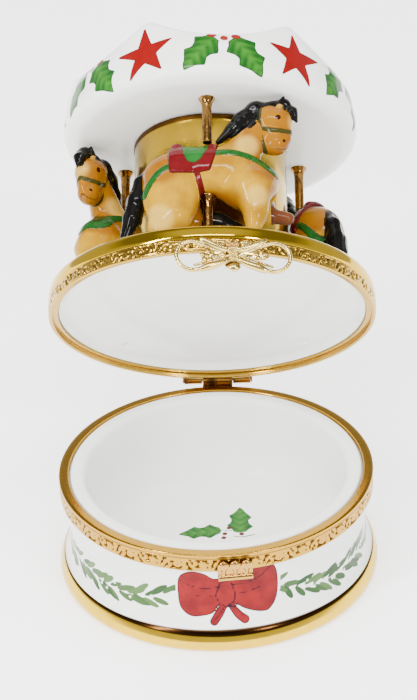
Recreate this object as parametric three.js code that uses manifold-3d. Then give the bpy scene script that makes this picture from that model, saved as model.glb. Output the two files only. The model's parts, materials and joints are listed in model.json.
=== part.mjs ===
// A small hinged porcelain box with a fixed carousel on its lid, shown with the lid open.
// Millimetres, +Z up, origin at the centre of the flat underside of the foot.
// The front, with the clasp, looks towards -Y and the hinge is at the back, towards +Y.

import * as THREE from 'three';
import { mergeVertices } from 'three/addons/utils/BufferGeometryUtils.js';
import Module from 'manifold-3d';

const wasm = await Module();
wasm.setup();

// ---------------------------------------------------------------- driving dimensions
const GAP = 0.3; // between pieces that are glued, pinched or resting on each other

const HINGE_Z = 21.5; // height of the hinge axis, which is also where the two rims meet
const HINGE_Y = 32.4; // distance of the hinge axis behind the centre
const LID_OPEN_ANGLE = 51.6; // degrees between the closed lid and the open lid
const RIM_PART_LINE = 0.15; // each rim stops this short of the hinge plane

const FOOT_R = 30.9;
const WAIST_R = 28.4;
const BOWL_R = 24.4;
const BOWL_FLOOR_Z = 4;
const BOWL_CORNER_R = 5;

const BASE_BEZEL_R = 30;
const BASE_BEZEL_BAND = 3.6;
const LID_BEZEL_R = 31.1;
const LID_BEZEL_BAND = 2.45;
const BEZEL_WALL = 0.6;
const BASE_FLANGE_R = 27.4;
const LID_FLANGE_R = 27.9;

const CLASP_ANGLE = 7; // degrees that the clasp and catch sit round from the front, towards +X
const CATCH_WIDTH = 6.3;
const CATCH_HEIGHT = 3.9;
const CATCH_DROP = 0.9; // top of the catch below the top of the base rim
const CATCH_R = 31.7;
const BOW_R = 33.1;
const BOW_THICKNESS = 1.1;

const BARREL_LENGTH = 13.5;
const BARREL_R = 0.95;
const BARREL_BORE_R = 0.65;
const PIN_R = 0.35;
const KNUCKLE_LENGTH = 3.6;

const PLATFORM_Z = 5.1; // top of the lid's platform above the lid's rim
const UNDERSIDE_Z = 2.2; // recessed underside of the lid
const COLUMN_R = 15;
const COLUMN_WALL = 2;
const CANOPY_Z = 36; // underside of the canopy above the lid's rim
const CANOPY_R = 28.8;
const CANOPY_TOP_R = 26.9;
const CANOPY_WALL = 3;
const PEAK_Z = 51;
const DIP_Z = 46.9;
const CANOPY_POINTS = 6;
const CANOPY_TURN = 6; // degrees that the first dip is turned from the front, towards +X

const HORSE_ANGLES = { front: -90, right: 30, left: 150 };
const HORSE_RING_R = 20;
const HORSE_SQUEEZE = 0.86; // side-to-side thinning of the horses
const SADDLE_Z = 26;
const BELLY_Z = 15.9;
const POST_R = 0.95;
const POST_HEAD_R = 1.65;
const POST_HOLE_R = POST_R + GAP;

// ---------------------------------------------------------------- materials
const finish = (color, roughness, metalness) => ({ color, roughness, metalness });
const WHITE_GLAZE = finish(0xf1f1ec, 0.15, 0);
const GILDING = finish(0xc9a43f, 0.25, 0.9);
const BRASS = finish(0xb98f4e, 0.35, 1);
const OLD_BRASS = finish(0x7a5f3a, 0.4, 1);
const HONEY_GLAZE = finish(0xd9a35c, 0.2, 0);

// ---------------------------------------------------------------- geometry helpers
const radians = THREE.MathUtils.degToRad;

function toSolid(geometry) {
  const bare = geometry.clone();
  bare.deleteAttribute('normal');
  bare.deleteAttribute('uv');
  const merged = mergeVertices(bare, 1e-4);
  return new wasm.Manifold(new wasm.Mesh({
    numProp: 3,
    vertProperties: new Float32Array(merged.attributes.position.array),
    triVerts: new Uint32Array(merged.index.array),
  }));
}

function toGeometry(solid) {
  const mesh = solid.getMesh();
  const geometry = new THREE.BufferGeometry();
  geometry.setAttribute('position', new THREE.BufferAttribute(mesh.vertProperties, 3));
  geometry.setIndex(new THREE.BufferAttribute(mesh.triVerts, 1));
  geometry.computeVertexNormals();
  return geometry;
}

function join(geometries) {
  return toGeometry(geometries.map(toSolid).reduce((whole, next) => whole.add(next)));
}

function cut(geometry, cutters) {
  return toGeometry(cutters.map(toSolid).reduce((whole, next) => whole.subtract(next), toSolid(geometry)));
}

function common(first, second) {
  return toGeometry(toSolid(first).intersect(toSolid(second)));
}

// A closed profile of [radius, height] pairs turned about the Z axis.
function turned(profile, segments) {
  const points = [...profile, profile[0]].map(([r, z]) => new THREE.Vector2(r, z));
  return new THREE.LatheGeometry(points, segments).rotateX(Math.PI / 2);
}

// Points of an arc in a profile, from one angle to another in degrees.
function arc(r, z, radius, from, to, steps) {
  return Array.from({ length: steps + 1 }, (_, i) => {
    const angle = radians(from + (to - from) * i / steps);
    return [r + radius * Math.cos(angle), z + radius * Math.sin(angle)];
  });
}

function rod(radius, z0, z1, segments = 14) {
  return new THREE.CylinderGeometry(radius, radius, z1 - z0, segments)
    .rotateX(Math.PI / 2)
    .translate(0, 0, (z0 + z1) / 2);
}

function crossRod(radius, x0, x1, segments = 14) {
  return new THREE.CylinderGeometry(radius, radius, x1 - x0, segments)
    .rotateZ(Math.PI / 2)
    .translate((x0 + x1) / 2, 0, 0);
}

function block(x0, x1, y0, y1, z0, z1) {
  return new THREE.BoxGeometry(x1 - x0, y1 - y0, z1 - z0)
    .translate((x0 + x1) / 2, (y0 + y1) / 2, (z0 + z1) / 2);
}

// A round-ended limb that tapers from radius ra at point a to radius rb at point b.
function limb(a, b, ra, rb, segments = 7, steps = 1) {
  const from = new THREE.Vector3(...a);
  const to = new THREE.Vector3(...b);
  const length = from.distanceTo(to);
  const profile = [
    ...arc(0, 0, ra, -90, 0, steps),
    ...arc(0, length, rb, 0, 90, steps),
  ].map(([r, z]) => new THREE.Vector2(Math.max(r, 0), z));
  profile[0].x = 0;
  profile[profile.length - 1].x = 0;
  const turn = new THREE.Quaternion().setFromUnitVectors(
    new THREE.Vector3(0, 1, 0),
    to.clone().sub(from).normalize(),
  );
  return new THREE.LatheGeometry(profile, segments)
    .applyQuaternion(turn)
    .translate(...a);
}

function piece(name, geometry, look) {
  const mesh = new THREE.Mesh(geometry, new THREE.MeshStandardMaterial(look));
  mesh.name = name;
  return mesh;
}

// A group turned about Z, so that what is built at the front sits at another angle.
function turnedGroup(degrees, ...meshes) {
  const group = new THREE.Group();
  group.rotation.z = radians(degrees);
  group.add(...meshes);
  return group;
}

// ---------------------------------------------------------------- base
const baseRimZ = HINGE_Z - RIM_PART_LINE;
const baseBandZ = baseRimZ - BASE_BEZEL_BAND;

function baseBowl() {
  const shoulderR = BASE_BEZEL_R - BEZEL_WALL - GAP;
  const shoulderZ = baseRimZ - BEZEL_WALL - GAP;
  const lipOuterR = BASE_FLANGE_R - GAP;
  const lipR = (lipOuterR - BOWL_R) / 2;
  const profile = [
    [0, 0],
    [FOOT_R - 0.9, 0],
    [FOOT_R - 0.3, 0.4],
    [FOOT_R, 1.3],
    [FOOT_R - 0.1, 2.9],
    [FOOT_R - 0.7, 4.1],
    [WAIST_R + 0.8, 5.1],
    [WAIST_R + 0.2, 7.2],
    [WAIST_R, 10.5],
    [WAIST_R + 0.15, 14.5],
    [WAIST_R + 0.5, baseBandZ - GAP],
    [shoulderR, baseBandZ + GAP],
    [shoulderR, shoulderZ],
    [lipOuterR, shoulderZ],
    ...arc(BOWL_R + lipR, baseRimZ - lipR, lipR, 0, 180, 6),
    ...arc(BOWL_R - BOWL_CORNER_R, BOWL_FLOOR_Z + BOWL_CORNER_R, BOWL_CORNER_R, 0, -90, 4),
    [0, BOWL_FLOOR_Z],
  ];
  return turned(profile, 44);
}

function baseBezel() {
  const profile = [
    [BASE_BEZEL_R - BEZEL_WALL, baseBandZ],
    [BASE_BEZEL_R, baseBandZ],
    [BASE_BEZEL_R, baseRimZ - 0.3],
    [BASE_BEZEL_R - 0.3, baseRimZ],
    [BASE_FLANGE_R, baseRimZ],
    [BASE_FLANGE_R, baseRimZ - BEZEL_WALL],
    [BASE_BEZEL_R - BEZEL_WALL, baseRimZ - BEZEL_WALL],
  ];
  return turned(profile, 56);
}

// Three lobes above a half-round bar, on the front of the base rim.
function frontCatch() {
  const half = CATCH_WIDTH / 2;
  const lobe = half / 3;
  const top = CATCH_HEIGHT - lobe;
  const outline = new THREE.Shape();
  outline.moveTo(-half, 0);
  outline.lineTo(half, 0);
  outline.lineTo(half, top);
  for (const x of [2 * lobe, 0, -2 * lobe]) {
    outline.absarc(x, top, lobe, 0, Math.PI, false);
  }
  outline.lineTo(-half, 0);
  const plateBack = BASE_BEZEL_R + GAP;
  const bottomZ = baseRimZ - CATCH_DROP - CATCH_HEIGHT;
  const plate = new THREE.ExtrudeGeometry(outline, { depth: 0.8, bevelEnabled: false, curveSegments: 6 })
    .rotateX(Math.PI / 2)
    .translate(0, -plateBack, bottomZ);
  const bar = crossRod(0.6, -half, half, 12)
    .translate(0, -CATCH_R + 0.6, bottomZ + 0.7);
  return join([plate, bar]);
}

// ---------------------------------------------------------------- hinge, about its own axis
const halfBarrel = BARREL_LENGTH / 2;
const innerKnuckle = halfBarrel - KNUCKLE_LENGTH;

function baseHingeLeaf() {
  const plateY = BASE_BEZEL_R + GAP - HINGE_Y;
  const half = innerKnuckle - GAP;
  const plate = block(-halfBarrel, halfBarrel, plateY, plateY + BEZEL_WALL, -3.5, -1.3);
  const web = block(-half, half, plateY, -0.45, -1.5, -0.5);
  const leaf = join([plate, web, crossRod(BARREL_R, -half, half)]);
  return cut(leaf, [crossRod(BARREL_BORE_R, -halfBarrel, halfBarrel)]);
}

function lidHingeLeaf() {
  const plateY = LID_BEZEL_R + GAP - HINGE_Y;
  const plate = block(-halfBarrel, halfBarrel, plateY, plateY + BEZEL_WALL, 1.3, 2.5);
  const sides = [-1, 1].flatMap((side) => {
    const [x0, x1] = side < 0 ? [-halfBarrel, -innerKnuckle] : [innerKnuckle, halfBarrel];
    return [block(x0, x1, plateY, plateY + BEZEL_WALL, 0.5, 1.5), crossRod(BARREL_R, x0, x1)];
  });
  return cut(join([plate, ...sides]), [crossRod(BARREL_BORE_R, -halfBarrel - 1, halfBarrel + 1)]);
}

function hingePin() {
  const headX = halfBarrel + GAP;
  return join([
    crossRod(PIN_R, -headX - 0.2, headX + 0.2, 10),
    crossRod(BARREL_R - 0.2, -headX - 0.4, -headX, 12),
    crossRod(BARREL_R - 0.2, headX, headX + 0.4, 12),
  ]);
}

// ---------------------------------------------------------------- lid, measured from its rim
function lidPlate() {
  const seatR = LID_BEZEL_R - BEZEL_WALL - GAP;
  const seatZ = RIM_PART_LINE + BEZEL_WALL + GAP;
  const bandTopZ = RIM_PART_LINE + LID_BEZEL_BAND;
  const profile = [
    [0, UNDERSIDE_Z],
    [LID_FLANGE_R - 1.6, UNDERSIDE_Z],
    [LID_FLANGE_R - 0.6, UNDERSIDE_Z - 0.4],
    [LID_FLANGE_R, seatZ],
    [seatR, seatZ],
    [seatR, bandTopZ + GAP],
    [LID_BEZEL_R - 0.15, bandTopZ + GAP],
    [LID_BEZEL_R, bandTopZ + 0.8],
    [LID_BEZEL_R - 0.2, bandTopZ + 1.5],
    [LID_BEZEL_R - 0.8, PLATFORM_Z - 0.3],
    [LID_BEZEL_R - 1.7, PLATFORM_Z],
    [0, PLATFORM_Z],
  ];
  return cut(turned(profile, 48), atPosts(() => rod(POST_HOLE_R, 0, PLATFORM_Z + 1, 12)));
}

function lidBezel() {
  const flangeZ = RIM_PART_LINE + BEZEL_WALL;
  const profile = [
    [LID_FLANGE_R, RIM_PART_LINE],
    [LID_BEZEL_R - 0.3, RIM_PART_LINE],
    [LID_BEZEL_R, RIM_PART_LINE + 0.3],
    [LID_BEZEL_R, RIM_PART_LINE + LID_BEZEL_BAND],
    [LID_BEZEL_R - BEZEL_WALL, RIM_PART_LINE + LID_BEZEL_BAND],
    [LID_BEZEL_R - BEZEL_WALL, flangeZ],
    [LID_FLANGE_R, flangeZ],
  ];
  return turned(profile, 56);
}

// The spring tongue that hangs from the lid rim behind the bow and reaches over the catch.
function claspTongue() {
  const back = CATCH_R + GAP + 0.4;
  const front = BOW_R - GAP;
  const pad = block(-2.6, 2.6, -front, -LID_BEZEL_R - GAP, 0.5, 2.3);
  const strip = block(-2.6, 2.6, -front, -back, -4.6, 1);
  const nib = block(-1.8, 1.8, -front, -back + 0.35, -4.6, -3.9);
  return join([pad, strip, nib]);
}

// One ribbon loop of the bow: a teardrop ring with its point at the knot.
function bowLoop() {
  const teardrop = (tip, length, height, depth) => {
    const outline = new THREE.Shape();
    outline.moveTo(tip, 0);
    outline.bezierCurveTo(tip + 2, height, length - 1, height * 1.6, length, height * 0.3);
    outline.bezierCurveTo(length + 0.6, -height * 0.9, tip + 3, -height * 0.9, tip, 0);
    return new THREE.ExtrudeGeometry(outline, { depth, bevelEnabled: false, curveSegments: 8 })
      .rotateX(Math.PI / 2);
  };
  const hole = teardrop(2.6, 8.6, 1.6, 3 * BOW_THICKNESS).translate(0, BOW_THICKNESS, 0);
  return cut(teardrop(0, 10.3, 2.9, BOW_THICKNESS), [hole]);
}

function claspBow() {
  const tilt = radians(6);
  const right = bowLoop().rotateZ(tilt);
  const left = bowLoop().rotateZ(Math.PI - tilt).translate(0, -BOW_THICKNESS, 0);
  const tails = [-1, 1].map((side) => block(-1, 1, -BOW_THICKNESS, 0, -4.8, 0)
    .rotateY(side * radians(-38)));
  const knot = new THREE.SphereGeometry(1, 12, 8)
    .scale(2.1, BOW_THICKNESS / 2, 1.9)
    .translate(0, -BOW_THICKNESS / 2, 0);
  return join([right, left, ...tails, knot]).translate(0, -BOW_R, -1);
}

// ---------------------------------------------------------------- carousel on the lid
function atPosts(make) {
  return Object.values(HORSE_ANGLES).map((angle) => make()
    .translate(HORSE_RING_R * Math.cos(radians(angle)), HORSE_RING_R * Math.sin(radians(angle)), 0));
}

function column() {
  const bottom = PLATFORM_Z + GAP;
  const top = CANOPY_Z - GAP;
  const inner = COLUMN_R - COLUMN_WALL;
  return turned([[inner, bottom], [COLUMN_R, bottom], [COLUMN_R, top], [inner, top]], 48);
}

// A hollow drum whose crown has six peaks, closed by a low tent roof.
function canopy() {
  const floorZ = CANOPY_Z + CANOPY_WALL;
  const mouthR = COLUMN_R - COLUMN_WALL;
  const crownR = CANOPY_TOP_R - 2.1;
  const profile = [
    [mouthR, CANOPY_Z],
    ...arc(CANOPY_R - 2.2, CANOPY_Z + 2.2, 2.2, -90, 0, 4),
    [CANOPY_R - 0.1, 40],
    [(CANOPY_R + CANOPY_TOP_R) / 2, 45.5],
    [CANOPY_TOP_R, PEAK_Z],
    [crownR, PEAK_Z],
    [crownR, 46.6],
    [16, 49.8],
    [6, 51.8],
    [0.5, 52.2],
    [0.5, 47.4],
    [6, 47],
    [15, 44.8],
    [23.4, 42.2],
    [25.2, floorZ],
    [mouthR, floorZ],
  ];
  const drum = turned(profile, 48);
  const plug = rod(1.2, 47.5, 52.1, 12);
  const halfChord = CANOPY_TOP_R * Math.sin(Math.PI / CANOPY_POINTS);
  const sag = PEAK_Z - DIP_Z;
  const scoopR = (halfChord ** 2 + sag ** 2) / (2 * sag);
  const crownZone = turned([
    [crownR - 0.1, CANOPY_Z],
    [CANOPY_R + 1, CANOPY_Z],
    [CANOPY_R + 1, PEAK_Z + 1],
    [crownR - 0.1, PEAK_Z + 1],
  ], 48);
  const scoops = Array.from({ length: CANOPY_POINTS }, (_, i) => {
    const scoop = new THREE.CylinderGeometry(scoopR, scoopR, COLUMN_R, 48)
      .translate(0, -CANOPY_R, DIP_Z + scoopR)
      .rotateZ(radians(360 / CANOPY_POINTS * i));
    return common(scoop, crownZone);
  });
  const shell = cut(join([drum, plug]), scoops);
  return cut(shell, atPosts(() => rod(POST_HOLE_R, CANOPY_Z - 1, floorZ + 1, 12))
    .map((hole) => hole.rotateZ(radians(-CANOPY_TURN))));
}

// A prancing horse facing +X, with its post line through x = 0 and its outer side towards -Y.
function horse() {
  const body = [
    limb([-6.8, 0, 18.4], [-1.8, 0, 20.6], 5.2, 4.5, 10, 2),
    limb([-1.8, 0, 20.6], [2.8, 0, 20.6], 4.5, 4.5, 10, 2),
    limb([2.8, 0, 20.6], [7.4, 0, 18.7], 4.5, 5.1, 10, 2),
    limb([-3.5, 0, 22.4], [0.5, 0, 22.4], 3.2, 3.2),
  ];
  const headAndNeck = [
    limb([6, 0, 21.5], [9.6, 0, 29.5], 4.4, 2.9, 10, 2),
    limb([12, 0, 31], [12.6, 0, 26.6], 3.1, 2.3, 9, 2),
    limb([9.6, 0, 29.5], [12, 0, 31], 2.9, 3.1),
    limb([3.6, 0, 27.2], [8.2, 0, 31.8], 1.2, 2),
    limb([8.2, 0, 31.8], [14.6, 0, 33.4], 2, 1.7),
    limb([14.6, 0, 33.4], [16, 0, 30.8], 1.7, 0.8),
  ];
  const legs = [
    limb([-6.8, -2.4, 16.8], [-5.2, -2.7, 13.2], 3.9, 2.8),
    limb([-5.2, -2.7, 13.2], [-9.4, -2.5, 9.6], 2.6, 1.7),
    limb([-9.4, -2.5, 9.6], [-8.2, -2.5, 7], 1.6, 1.5),
    limb([-6.8, 2.4, 16.8], [-5.8, 2.7, 13], 3.9, 2.8),
    limb([-5.8, 2.7, 13], [-10.2, 2.5, 10], 2.4, 1.6),
    limb([-10.2, 2.5, 10], [-9.6, 2.5, 7], 1.6, 1.5),
    limb([8, -2, 16], [7.6, -2.6, 11.4], 3.4, 2.2),
    limb([7.6, -2.6, 11.4], [9, -2.6, 7], 1.9, 1.4),
    limb([8.4, 2, 16], [11, 2.4, 12.6], 3, 1.7),
    limb([11, 2.4, 12.6], [15, 2.4, 12.2], 1.5, 1.2),
  ];
  const tail = [
    limb([-11, 0, 20.6], [-13, 0, 16.4], 1.1, 1.8),
    limb([-13, 0, 16.4], [-14.4, 0, 9.4], 1.8, 1.3),
  ];
  const figure = join([...body, ...headAndNeck, ...legs, ...tail]);
  return figure.scale(1, HORSE_SQUEEZE, 1).translate(0, -HORSE_RING_R, 0);
}

// A brass post with a flared nail head at its top end.
function post(bottom, top) {
  const profile = [
    [0, bottom],
    [POST_R, bottom],
    [POST_R, top - 1.1],
    [POST_HEAD_R, top - 0.4],
    [POST_HEAD_R, top],
    [0, top],
  ];
  return turned(profile, 14).translate(0, -HORSE_RING_R, 0);
}

function upperPost() {
  const shank = rod(POST_R, CANOPY_Z - 0.4, CANOPY_Z + 1.6, 14).translate(0, -HORSE_RING_R, 0);
  return join([post(SADDLE_Z + 0.7, CANOPY_Z - GAP), shank]);
}

function lowerPost() {
  return post(UNDERSIDE_Z + 0.6, BELLY_Z - GAP);
}

// ---------------------------------------------------------------- assembly
const base = new THREE.Group();
base.add(
  piece('base_bowl', baseBowl(), WHITE_GLAZE),
  piece('base_bezel', baseBezel(), BRASS),
  turnedGroup(CLASP_ANGLE, piece('front_catch', frontCatch(), BRASS)),
);

const hinge = new THREE.Group();
hinge.position.set(0, HINGE_Y, HINGE_Z);
hinge.add(
  piece('base_hinge_leaf', baseHingeLeaf(), BRASS),
  piece('hinge_pin', hingePin(), BRASS),
);

const lid = new THREE.Group();
lid.position.y = -HINGE_Y;
lid.add(
  piece('lid_plate', lidPlate(), WHITE_GLAZE),
  piece('lid_bezel', lidBezel(), BRASS),
  turnedGroup(
    CLASP_ANGLE,
    piece('clasp_tongue', claspTongue(), BRASS),
    piece('clasp_bow', claspBow(), BRASS),
  ),
  piece('column', column(), GILDING),
  turnedGroup(CANOPY_TURN, piece('canopy', canopy(), WHITE_GLAZE)),
);
for (const [place, angle] of Object.entries(HORSE_ANGLES)) {
  lid.add(turnedGroup(
    angle + 90,
    piece(`horse_${place}`, horse(), HONEY_GLAZE),
    piece(`upper_post_${place}`, upperPost(), OLD_BRASS),
    piece(`lower_post_${place}`, lowerPost(), OLD_BRASS),
  ));
}

const opening = new THREE.Group();
opening.rotation.x = radians(-LID_OPEN_ANGLE);
opening.add(lid, piece('lid_hinge_leaf', lidHingeLeaf(), BRASS));
hinge.add(opening);

const group = new THREE.Group();
group.add(base, hinge);

export default group;
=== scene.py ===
# Looks of the hinged porcelain carousel box. Lengths are in millimetres until a mesh is made.
# The lid's pieces are built with the lid closed, heights measured from the hinge plane, and then opened.
# Horses, posts and clasp are built at the front, facing -Y, and then turned about Z to their places.

import json
import math

import bpy
import numpy as np
from mathutils import Matrix, Vector


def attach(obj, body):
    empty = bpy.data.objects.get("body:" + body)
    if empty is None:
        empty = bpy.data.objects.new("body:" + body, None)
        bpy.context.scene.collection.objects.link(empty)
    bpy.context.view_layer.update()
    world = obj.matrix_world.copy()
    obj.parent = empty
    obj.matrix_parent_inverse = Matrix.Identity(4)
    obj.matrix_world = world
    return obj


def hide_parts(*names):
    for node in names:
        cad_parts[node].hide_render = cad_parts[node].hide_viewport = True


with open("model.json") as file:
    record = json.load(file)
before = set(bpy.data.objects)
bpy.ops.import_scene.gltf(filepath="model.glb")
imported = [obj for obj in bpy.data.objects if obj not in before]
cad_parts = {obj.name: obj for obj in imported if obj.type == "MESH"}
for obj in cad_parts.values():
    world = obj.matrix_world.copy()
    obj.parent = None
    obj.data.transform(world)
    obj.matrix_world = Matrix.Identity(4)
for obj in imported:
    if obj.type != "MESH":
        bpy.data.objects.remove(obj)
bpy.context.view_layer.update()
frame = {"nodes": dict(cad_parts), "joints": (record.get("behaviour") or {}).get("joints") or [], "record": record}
MM = 0.001

# ---------------------------------------------------------------- the frame's own sizes
hinge = frame["joints"][0]
HINGE = np.array(hinge["pos_m"]) / MM
OPEN = math.radians(-hinge["range_deg"][0])
HINGE_PLACE = Matrix.Translation(Vector(hinge["pos_m"]))
HINGE_TURN = Matrix.Rotation(OPEN, 4, Vector(hinge["axis"]))
RIM_UP = Matrix.Translation((0, 0, HINGE[2] * MM))
LID = HINGE_PLACE @ HINGE_TURN @ HINGE_PLACE.inverted() @ RIM_UP
BASE = Matrix.Identity(4)
BODY_OF = {n: body for body, nodes in frame["record"]["behaviour"]["bodies"].items() for n in nodes}


def cad_box(node, place=BASE, turn=0):
    """Lowest and highest corner of a CAD node, in mm, in the coordinates its visual piece is built in."""
    back = (place @ Matrix.Rotation(math.radians(turn), 4, "Z")).inverted()
    points = np.array([back @ v.co for v in frame["nodes"][node].data.vertices]) / MM
    return points.min(0), points.max(0)


bezel_lo, bezel_hi = cad_box("base_bezel")
plate_hi = cad_box("lid_plate", LID)[1]
column_lo, column_hi = cad_box("column", LID)
canopy_lo, canopy_hi = cad_box("canopy", LID)
FOOT_R = cad_box("base_bowl")[1][0]
BASE_R = bezel_hi[0]
LID_R = cad_box("lid_bezel", LID)[1][0]
PLATFORM_Z = plate_hi[2]
COLUMN_R = column_hi[0]
CANOPY_Z = canopy_lo[2]
CANOPY_R = canopy_hi[0]
PEAK_Z = CANOPY_Z + 15
BASE_WALL_R = 28.5
CANOPY_WALL_R = 27.6
POST_RING_R = 20
FAR = 9.0  # a distance well clear of any paint
SKIRT = 0.6  # how far the lid's band hangs over the band of the base
LID_BAND_TOP = 1.95
PROUD = 0.02  # how far a skin stays inside its CAD outline
CLASP_TURN = 7
RIBBON_TURN = 6
CANOPY_TURN = 6
HORSE_TURNS = {"front": 0, "right": 120, "left": 240}


# ---------------------------------------------------------------- meshes
def make_mesh(node, finish, points, faces, place, material, paint):
    """Points in mm, faces an (n, 3 or 4) array or a list of them, paint a value per point for each layer."""
    name = f"{node}_{finish}"
    blocks = faces if isinstance(faces, list) else [faces]
    mesh = bpy.data.meshes.new(name)
    mesh.vertices.add(len(points))
    mesh.vertices.foreach_set("co", (np.asarray(points, float) * MM).astype(np.float32).ravel())
    counts = np.concatenate([np.full(len(b), b.shape[1]) for b in blocks])
    mesh.loops.add(int(counts.sum()))
    mesh.loops.foreach_set("vertex_index", np.concatenate([b.ravel() for b in blocks]).astype(np.int32))
    mesh.polygons.add(len(counts))
    mesh.polygons.foreach_set("loop_start", (np.cumsum(counts) - counts).astype(np.int32))
    mesh.polygons.foreach_set("use_smooth", np.ones(len(counts), bool))
    for layer, values in paint.items():
        attribute = mesh.attributes.new(layer, "FLOAT", "POINT")
        attribute.data.foreach_set("value", np.asarray(values, np.float32))
    mesh.update(calc_edges=True)
    mesh.validate()
    mesh.transform(place)
    mesh.materials.append(material)
    piece = bpy.data.objects.new(name, mesh)
    bpy.context.scene.collection.objects.link(piece)
    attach(piece, BODY_OF[node])
    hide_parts(node)


def turn_z(points, degrees):
    a = math.radians(degrees)
    x, y, z = points.T
    return np.stack([x * math.cos(a) - y * math.sin(a), x * math.sin(a) + y * math.cos(a), z], 1)


def fillet(corners, steps=6):
    """A profile of (r, z) or (r, z, rounding) corners with the rounded corners turned into arcs."""
    line = []
    for i, corner in enumerate(corners):
        p = np.array(corner[:2], float)
        radius = corner[2] if len(corner) > 2 else 0
        before, after = (np.array(corners[j % len(corners)][:2], float) for j in (i - 1, i + 1))
        if not radius or (i in (0, len(corners) - 1) and p[0] == 0):
            line.append(p)
            continue
        u, v = before - p, after - p
        reach = min(radius, 0.49 * np.linalg.norm(u), 0.49 * np.linalg.norm(v))
        u, v = u / np.linalg.norm(u) * reach, v / np.linalg.norm(v) * reach
        for k in range(steps + 1):
            t = k / steps
            line.append(p + u * (1 - t) ** 2 + v * t ** 2)
    return np.array(line)


def resample(line, step, closed):
    """Extra points on a profile, so that none of its segments is longer than step."""
    ends = np.vstack([line, line[:1]]) if closed else line
    out = []
    for a, b in zip(ends[:-1], ends[1:]):
        n = max(1, int(math.ceil(np.linalg.norm(b - a) / step)))
        out += [a + (b - a) * k / n for k in range(n)]
    return np.array(out if closed else out + [ends[-1]])


def revolve(profile, columns, closed):
    """Points and faces of a turned profile. An open profile starts and ends on the axis."""
    angle = np.arange(columns) * 2 * math.pi / columns
    rows = profile if closed else profile[1:-1]
    r, z = rows[:, 0], rows[:, 1]
    x = np.sin(angle)[:, None] * r
    y = -np.cos(angle)[:, None] * r
    points = np.stack([x, y, np.broadcast_to(z, x.shape)], 2).reshape(-1, 3)
    m = len(rows)
    i, j = np.meshgrid(np.arange(columns), np.arange(m if closed else m - 1), indexing="ij")
    i, j = i.ravel(), j.ravel()
    following, up = (i + 1) % columns, (j + 1) % m
    faces = [np.stack([i * m + j, following * m + j, following * m + up, i * m + up], 1)]
    if not closed:
        ends = len(points) + np.array([0, 1])
        points = np.vstack([points, [[0, 0, profile[0, 1]], [0, 0, profile[-1, 1]]]])
        c = np.arange(columns)
        n = (c + 1) % columns
        faces.append(np.stack([np.full(columns, ends[0]), n * m, c * m], 1))
        faces.append(np.stack([np.full(columns, ends[1]), c * m + m - 1, n * m + m - 1], 1))
    return points, faces


def surface_net(field, low, step):
    """Quads around the zero level of a 3-D array that is negative inside."""
    shape = np.array(field.shape) + 1
    sums = [np.zeros(shape.prod()) for _ in range(4)]
    quads = []
    for a in range(3):
        b, c = (a + 1) % 3, (a + 2) % 3
        first = np.take(field, range(field.shape[a] - 1), a)
        second = np.take(field, range(1, field.shape[a]), a)
        at = np.argwhere((first < 0) != (second < 0))
        f0, f1 = first[tuple(at.T)], second[tuple(at.T)]
        crossing = at.astype(float)
        crossing[:, a] += f0 / (f0 - f1)
        corners = []
        for db, dc in ((0, 0), (1, 0), (1, 1), (0, 1)):
            cell = at + 1
            cell[:, b] -= db
            cell[:, c] -= dc
            key = np.ravel_multi_index(cell.T, shape)
            corners.append(key)
            sums[3] += np.bincount(key, minlength=len(sums[3]))
            for k in range(3):
                sums[k] += np.bincount(key, weights=crossing[:, k], minlength=len(sums[k]))
        quad = np.stack(corners, 1)
        quads.append(np.where((f0 < 0)[:, None], quad, quad[:, ::-1]))
    used = np.flatnonzero(sums[3])
    number = np.zeros(len(sums[3]), np.int64)
    number[used] = np.arange(len(used))
    points = np.stack([sums[k][used] / sums[3][used] for k in range(3)], 1) * step + low
    return points, number[np.concatenate(quads)]


def sculpt(shape, low, high, step):
    """A mesh of a signed-distance shape, its points drawn onto the true surface."""
    low, high = np.array(low, float), np.array(high, float)
    axes = [np.arange(l, h + step, step) for l, h in zip(low, high)]
    grid = np.stack(np.meshgrid(*axes, indexing="ij"), -1).reshape(-1, 3)
    value = np.concatenate([shape(part) for part in np.array_split(grid, 8)])
    points, faces = surface_net(value.reshape([len(a) for a in axes]), low, step)
    e = step / 8
    for _ in range(3):
        here = shape(points)
        slope = np.stack([(shape(points + e * np.eye(3)[k]) - here) / e for k in range(3)], 1)
        size = np.maximum((slope ** 2).sum(1), 0.2)
        points = points - np.clip(here / size, -step / 2, step / 2)[:, None] * slope
    return points, faces


# ---------------------------------------------------------------- distances
def limb(p, a, b, ra, rb):
    a, b = np.array(a, float), np.array(b, float)
    along = b - a
    t = np.clip((p - a) @ along / (along @ along), 0, 1)
    away = p - a - t[:, None] * along
    return np.sqrt((away ** 2).sum(1)) - (ra + t * (rb - ra))


def chain(p, knots, blend):
    """A smooth chain of limbs through (x, y[, z], radius) knots."""
    parts = [limb(p, a[:-1], b[:-1], a[-1], b[-1]) for a, b in zip(knots[:-1], knots[1:])]
    return union(parts, blend)


def egg(p, centre, radii):
    q = (p - np.array(centre, float)) / np.array(radii, float)
    k0 = np.sqrt((q ** 2).sum(1))
    k1 = np.sqrt(((q / np.array(radii, float)) ** 2).sum(1))
    return k0 * (k0 - 1) / np.maximum(k1, 1e-6)


def slab(p, low, high, rounding):
    low, high = np.array(low, float), np.array(high, float)
    q = np.abs(p - (low + high) / 2) - (high - low) / 2 + rounding
    return np.sqrt((np.maximum(q, 0) ** 2).sum(1)) + np.minimum(q.max(1), 0) - rounding


def tube(p, radius, x0, x1, rounding):
    """A bar along X with its end edges rounded."""
    r = np.sqrt(p[:, 1] ** 2 + p[:, 2] ** 2)
    q = np.stack([r - radius, np.abs(p[:, 0] - (x0 + x1) / 2) - (x1 - x0) / 2], 1) + rounding
    return np.sqrt((np.maximum(q, 0) ** 2).sum(1)) + np.minimum(q.max(1), 0) - rounding


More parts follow.
